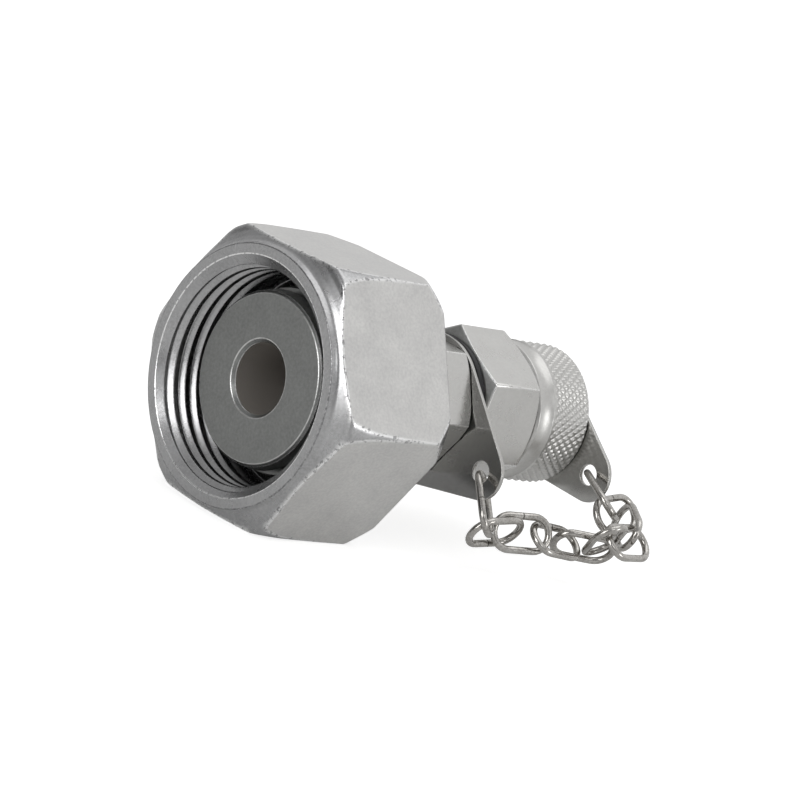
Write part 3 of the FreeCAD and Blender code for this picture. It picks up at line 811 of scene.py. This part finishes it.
def buildCap():
    bore, chamfer, band = cap["boreRadius"], cap["boreChamfer"], cap["bandRadius"]
    grip, end, rim, rivetFloor = cap["gripRadius"], cap["end"], cap["rim"], cap["end"] - cap["rivetDepth"]
    gripStart = cap["start"] + cap["bandLength"]
    rows = [(cap["floor"], 0.0, 0)]
    rows += softCorners([
        (cap["floor"], cap["floorInner"]), (cap["floor"], bore),
        (cap["start"] + chamfer, bore), (cap["start"], bore + chamfer),
        (cap["start"], band - cap["bandRound"]), (cap["start"] + cap["bandRound"], band), (gripStart, band),
    ], cap["soft"])
    rows += [(gripStart + cap["gripRise"], grip, 0)]
    gripRows = np.arange(gripStart + cap["gripInset"], end - rim - cap["rimInset"], cap["gripStep"])
    rows += [(x, grip, 0) for x in gripRows]
    rows += softCorners([
        (end - rim - cap["rimRow"], grip), (end - rim, grip), (end, grip - rim), (end, cap["rivetHole"]),
        (rivetFloor, cap["rivetHole"]), (rivetFloor, cap["rivetInner"]),
    ], cap["soft"])
    rows += [(rivetFloor, 0.0, 0)]
    count = cap["teeth"] * cap["perTooth"]
    return ringMesh("screwCap", rows, np.arange(count) / count * fullTurn, capSteel, closed=False)


screwCap = applyTree(buildCap(), knurlTree(), {
    "Teeth": float(cap["teeth"]), "Lead": cap["lead"] * mm, "Depth": cap["depth"] * mm,
    "Start": (cap["start"] + cap["bandLength"] + cap["knurlInset"]) * mm,
    "End": (cap["end"] - cap["rim"] * cap["knurlRim"]) * mm,
    "Outside": (cap["gripRadius"] - cap["depth"]) * mm, "Finish": capSteel,
})
fit(screwCap, "cap", "cap_plating", "protective_cap")
print("cap knurled:", len(screwCap.data.polygons), "faces")


# rivet with a domed head
rivet = {
    "start": 56.55, "shank": 1.6, "headX": 59.0, "headRadius": 3.2, "headHeight": 1.0, "domeSteps": 12,
    "soft": 0.07, "inner": 0.4,
}


def domeRows():
    ballRadius = (rivet["headRadius"] ** 2 + rivet["headHeight"] ** 2) / (2 * rivet["headHeight"])
    rows = []
    for k in range(1, rivet["domeSteps"] + 1):
        radius = rivet["headRadius"] * (1 - k / rivet["domeSteps"])
        rise = math.sqrt(ballRadius ** 2 - radius ** 2) - (ballRadius - rivet["headHeight"])
        rows.append((rivet["headX"] + rise, radius, 0))
    return rows


def buildRivet():
    dome = domeRows()
    rows = [(rivet["start"], 0.0, 0)] + softCorners([
        (rivet["start"], rivet["inner"]), (rivet["start"], rivet["shank"]), (rivet["headX"], rivet["shank"]),
        (rivet["headX"], rivet["headRadius"]), dome[0],
    ], rivet["soft"]) + dome[1:]
    return ringMesh("capRivet", rows, evenColumns[::2], sheetSteel, closed=False)


capRivet = buildRivet()
fit(capRivet, "cap", "sheet_plating", "cap_rivet")


# sheet plates: a round eye, straight flanks and a tip with the chain's hole
plates = {
    "thickness": 0.6, "turn": -111.0, "tipRadius": 3.8, "holeRadius": 1.45, "rim": 0.13, "rimRows": 3,
    "perMm": 3.5, "fewest": 8, "eyeSteps": 96, "holeSteps": 56, "flatNormal": 0.999,
    "collar": {"x": 34.8, "radius": 9.3, "shoulder": 2.6, "reach": 14.6, "eye": 7.45},
    "cap": {"x": 58.1, "radius": 7.0, "shoulder": 1.1, "reach": 12.8, "eye": 1.65},
}


def arcPoints(u, v, radius, first, last, steps):
    turns = np.linspace(first, last, steps, endpoint=last - first < fullTurn)
    return [(u + radius * math.cos(a), v + radius * math.sin(a)) for a in turns]


def beltPoints(circles):
    # outline pulled tight round the circles
    leaving = []
    for i, (u, v, r) in enumerate(circles):
        nextU, nextV, nextR = circles[(i + 1) % len(circles)]
        lean = math.acos((r - nextR) / math.hypot(nextU - u, nextV - v))
        leaving.append(math.atan2(nextV - v, nextU - u) - lean)
    points = []
    for i, (u, v, r) in enumerate(circles):
        first = leaving[i - 1]
        last = first + (leaving[i] - first) % fullTurn
        steps = max(plates["fewest"], int((last - first) * r * plates["perMm"]))
        points += arcPoints(u, v, r, first, last, steps)
    return points


def buildPlate(name, form):
    # drawn flat with the tip along +X, then turned to stand across the axis
    reach, eye, rim = form["reach"], form["radius"], plates["rim"]
    outline = beltPoints([(reach, 0, plates["tipRadius"]), (0, form["shoulder"], eye), (0, 0, eye)])
    loops = [outline, arcPoints(0, 0, form["eye"], 0, fullTurn, plates["eyeSteps"])]
    loops.append(arcPoints(reach, 0, plates["holeRadius"], 0, fullTurn, plates["holeSteps"]))
    curve = bpy.data.curves.new(name, "CURVE")
    curve.dimensions = "2D"
    curve.fill_mode = "BOTH"
    curve.extrude = (plates["thickness"] / 2 - rim) * mm
    curve.bevel_depth = rim * mm
    curve.bevel_resolution = plates["rimRows"]
    curve.offset = -rim * mm
    for loop in loops:
        spline = curve.splines.new("POLY")
        spline.points.add(len(loop) - 1)
        for point, (u, v) in zip(spline.points, loop):
            point.co = (u * mm, v * mm, 0, 1)
        spline.use_cyclic_u = True
    drawn = placed(name, curve)
    mesh = plainMesh(drawn)
    bpy.data.objects.remove(drawn)
    turn = math.radians(plates["turn"])
    axis, tip = Vector((1, 0, 0)), Vector((0, math.sin(turn), math.cos(turn)))
    place = Matrix((tip, axis.cross(tip), axis)).transposed().to_4x4()
    place.translation = ((form["x"] + plates["thickness"] / 2) * mm, 0, 0)
    mesh.transform(place)
    cleaned(mesh)
    for face in mesh.polygons:
        face.use_smooth = abs(face.normal.x) < plates["flatNormal"]
    mesh.materials.clear()
    mesh.materials.append(sheetSteel)
    return placed(name, mesh)


collarPlate = buildPlate("collarPlate", plates["collar"])
fit(collarPlate, "collar", "sheet_plating", "collar_plate")
capPlate = buildPlate("capPlate", plates["cap"])
fit(capPlate, "cap_tag", "sheet_plating", "cap_plate")
print("plates cut")


# chain: one bent wire, laid where each link of the frame hangs
link = {
    "wire": 1.0, "length": 9.4, "width": 5.6, "gap": 0.15, "sides": 20, "bendSteps": 14, "count": 10,
    "buttRows": 5, "sideRows": 7, "buttReach": 0.2, "passes": 3,
}


def bentWire(name, path, thickness, sides, finish):
    curve = bpy.data.curves.new(name, "CURVE")
    curve.dimensions = "3D"
    spline = curve.splines.new("POLY")
    spline.points.add(len(path) - 1)
    for point, place in zip(spline.points, path):
        point.co = (*(np.array(place) * mm), 1)
    values = {"Thickness": thickness * mm, "Sides": sides, "Finish": finish}
    return applyTree(placed(name, curve), wireTree(), values)


def linkPath():
    # once round from the butt joint in one long side
    bend = (link["width"] - link["wire"]) / 2
    half = (link["length"] - link["wire"]) / 2 - bend
    gap = link["gap"] / 2
    turns = [math.pi * k / link["bendSteps"] for k in range(1, link["bendSteps"])]
    path = [(x, bend) for x in np.linspace(gap, half, link["buttRows"])]
    path += [(half + bend * math.sin(a), bend * math.cos(a)) for a in turns]
    path += [(x, -bend) for x in np.linspace(half, -half, link["sideRows"])]
    path += [(-half - bend * math.sin(a), -bend * math.cos(a)) for a in turns]
    path += [(x, bend) for x in np.linspace(-half, -gap, link["buttRows"])]
    return [(x, y, 0) for x, y in path]


def hangOf(node):
    # a link's place and turn, read from the frame: each pass brings the middle closer
    points = np.array([v.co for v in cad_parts[node].data.vertices], float)
    middle = points.mean(0)
    for k in range(link["passes"]):
        axes = np.linalg.eigh(np.cov((points - middle).T))[1]
        local = (points - middle) @ axes
        middle = middle + axes @ ((local.max(0) + local.min(0)) / 2)
    along, across = axes[:, 2], axes[:, 1]
    local = (points - middle) @ np.stack([along, across], 1)
    nearButt = np.abs(local[:, 0]) < link["buttReach"] * mm
    if local[nearButt, 1].mean() < 0:
        across = -across
    out = np.cross(along, across)
    place = Matrix(np.stack([along, across, out], 1).tolist()).to_4x4()
    place.translation = Vector(middle)
    return place


pattern = bentWire("link", linkPath(), link["wire"], link["sides"], wireNickel)
for number in range(1, link["count"] + 1):
    node = "chain_link_%02d" % number
    mesh = pattern.data.copy()
    mesh.transform(hangOf(node))
    fit(placed("chainLink%02d" % number, mesh), "link_%02d" % number, "chain_wire", node)
bpy.data.objects.remove(pattern)
print("chain hung")


# valve spring, wound once between fixed ends; the real one shortens against the retainer as the poppet opens
spring = {
    "start": 31.03, "end": 42.22, "radius": 2.5, "wire": 0.56, "turns": 6, "sides": 16, "perTurn": 48,
    "opening": 2.0,
}


def springPath():
    path = []
    for t in np.linspace(0, 1, spring["turns"] * spring["perTurn"] + 1):
        a = fullTurn * spring["turns"] * t
        x = spring["start"] + (spring["end"] - spring["start"]) * t
        path.append((x, spring["radius"] * math.sin(a), -spring["radius"] * math.cos(a)))
    return path


coil = bentWire("valveSpring", springPath(), spring["wire"], spring["sides"], valveSteel)
fit(coil, "adapter", "valve_steel", "valve_spring")
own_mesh(coil)
print("spring wound")


# the other inner pieces and small seals keep the frame's shapes
finishOf = {
    "cone_o_ring": rubber, "poppet_seal": rubber, "port_seal": rubber, "cap_seal": rubber,
    "valve_poppet": valveSteel, "spring_retainer": valveSteel,
}
for node, finish in finishOf.items():
    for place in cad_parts[node].material_slots:
        place.material = finish


# pale floor, soft studio light and the camera
studio = {
    "floorZ": -18.0, "floorSize": 6.0, "floorRough": 0.9,
    "camera": (-0.2764, -0.2886, 0.0800), "lookAt": (0.0276, -0.0024, 0.0001), "roll": 18.3, "lens": 144.1,
    "sensor": 36.0, "clipStart": 0.01,
    "floorColour": (0.55, 0.55, 0.545), "floorWhite": 0.72, "floorMirrored": 0.15,
    "worldMiddle": 0.5, "worldRise": (0.30, 0.0, 0.12),
    "darkWay": (-0.74, 0.67), "darkness": 0.18, "darkFocus": 4.0,
}
# where each lamp stands, where it points, its size and its power
lamps = {
    "overhead": ((0.12, -0.05, 0.6), (0.03, 0, 0), (0.5, 0.5), 0.6),
    "sideStrip": ((0.2, -0.4, 0.03), (0.01, 0, 0), (0.1, 0.2), 0.2),
    "leftStrip": ((-0.552, -0.112, 0.215), (0.0, -0.01, 0), (0.33, 0.4), 1.35),
    "front": ((-0.15, -0.6, 0.42), (0.01, 0, 0), (0.25, 0.15), 0.2),
}


def buildFloor():
    half = studio["floorSize"] / 2
    z = studio["floorZ"] * mm
    corners = [(-half, -half, z), (half, -half, z), (half, half, z), (-half, half, z)]
    mesh = bpy.data.meshes.new("floor")
    mesh.from_pydata(corners, [], [(0, 1, 2, 3)])
    material = bpy.data.materials.new("floorPaper")
    material.use_nodes = True
    tree = material.node_tree
    shader = tree.nodes["Principled BSDF"]
    shader.inputs["Base Color"].default_value = (*studio["floorColour"], 1)
    shader.inputs["Roughness"].default_value = studio["floorRough"]
    ray = tree.nodes.new("ShaderNodeLightPath")
    shader.inputs["Emission Color"].default_value = (1, 1, 1, 1)
    mirrored = calc(tree, "ADD", ray.outputs["Is Glossy Ray"], ray.outputs["Is Transmission Ray"])
    white = calc(tree, "MULTIPLY", ray.outputs["Is Camera Ray"], studio["floorWhite"])
    glow = calc(tree, "MULTIPLY_ADD", mirrored, studio["floorMirrored"], white)
    tree.links.new(glow, shader.inputs["Emission Strength"])
    mesh.materials.append(material)
    floor = placed("floor", mesh)


def buildWorld():
    # light rises towards +X and up, dips on one side, and the camera sees white
    world = bpy.data.worlds.new("studioWorld")
    bpy.context.scene.world = world
    world.use_nodes = True
    tree = world.node_tree
    background = tree.nodes["Background"]
    coords = tree.nodes.new("ShaderNodeTexCoord")
    parts = tree.nodes.new("ShaderNodeSeparateXYZ")
    tree.links.new(coords.outputs["Generated"], parts.inputs[0])
    level = studio["worldMiddle"]
    for axis, rise in zip("XYZ", studio["worldRise"]):
        level = calc(tree, "MULTIPLY_ADD", parts.outputs[axis], rise, level)
    dark = calc(tree, "MULTIPLY", parts.outputs["X"], studio["darkWay"][0])
    dark = calc(tree, "MULTIPLY_ADD", parts.outputs["Y"], studio["darkWay"][1], dark, clamp=True)
    dark = calc(tree, "MULTIPLY", calc(tree, "POWER", dark, studio["darkFocus"]), studio["darkness"])
    ray = tree.nodes.new("ShaderNodeLightPath")
    level = calc(tree, "MAXIMUM", calc(tree, "SUBTRACT", level, dark), ray.outputs["Is Camera Ray"])
    tree.links.new(level, background.inputs["Strength"])
    background.inputs["Color"].default_value = (1, 1, 1, 1)


def softbox(name, place, aim, size, power):
    light = bpy.data.lights.new(name, "AREA")
    light.shape = "RECTANGLE"
    light.size, light.size_y = size
    light.energy = power
    lamp = placed(name, light)
    lamp.location = place
    lamp.rotation_euler = (Vector(aim) - Vector(place)).to_track_quat("-Z", "Y").to_euler()


def buildCamera():
    data = bpy.data.cameras.new("camera")
    data.lens = studio["lens"]
    data.sensor_width = studio["sensor"]
    data.clip_start = studio["clipStart"]
    camera = placed("camera", data)
    place, aim = Vector(studio["camera"]), Vector(studio["lookAt"])
    turn = (aim - place).to_track_quat("-Z", "Y").to_matrix().to_4x4()
    roll = Matrix.Rotation(math.radians(studio["roll"]), 4, "Z")
    camera.matrix_world = Matrix.Translation(place) @ turn @ roll
    bpy.context.scene.camera = camera


buildFloor()
buildWorld()
for name, lamp in lamps.items():
    softbox(name, *lamp)
buildCamera()
bpy.context.scene.view_settings.view_transform = "Standard"
print("studio set")

bpy.context.view_layer.update()
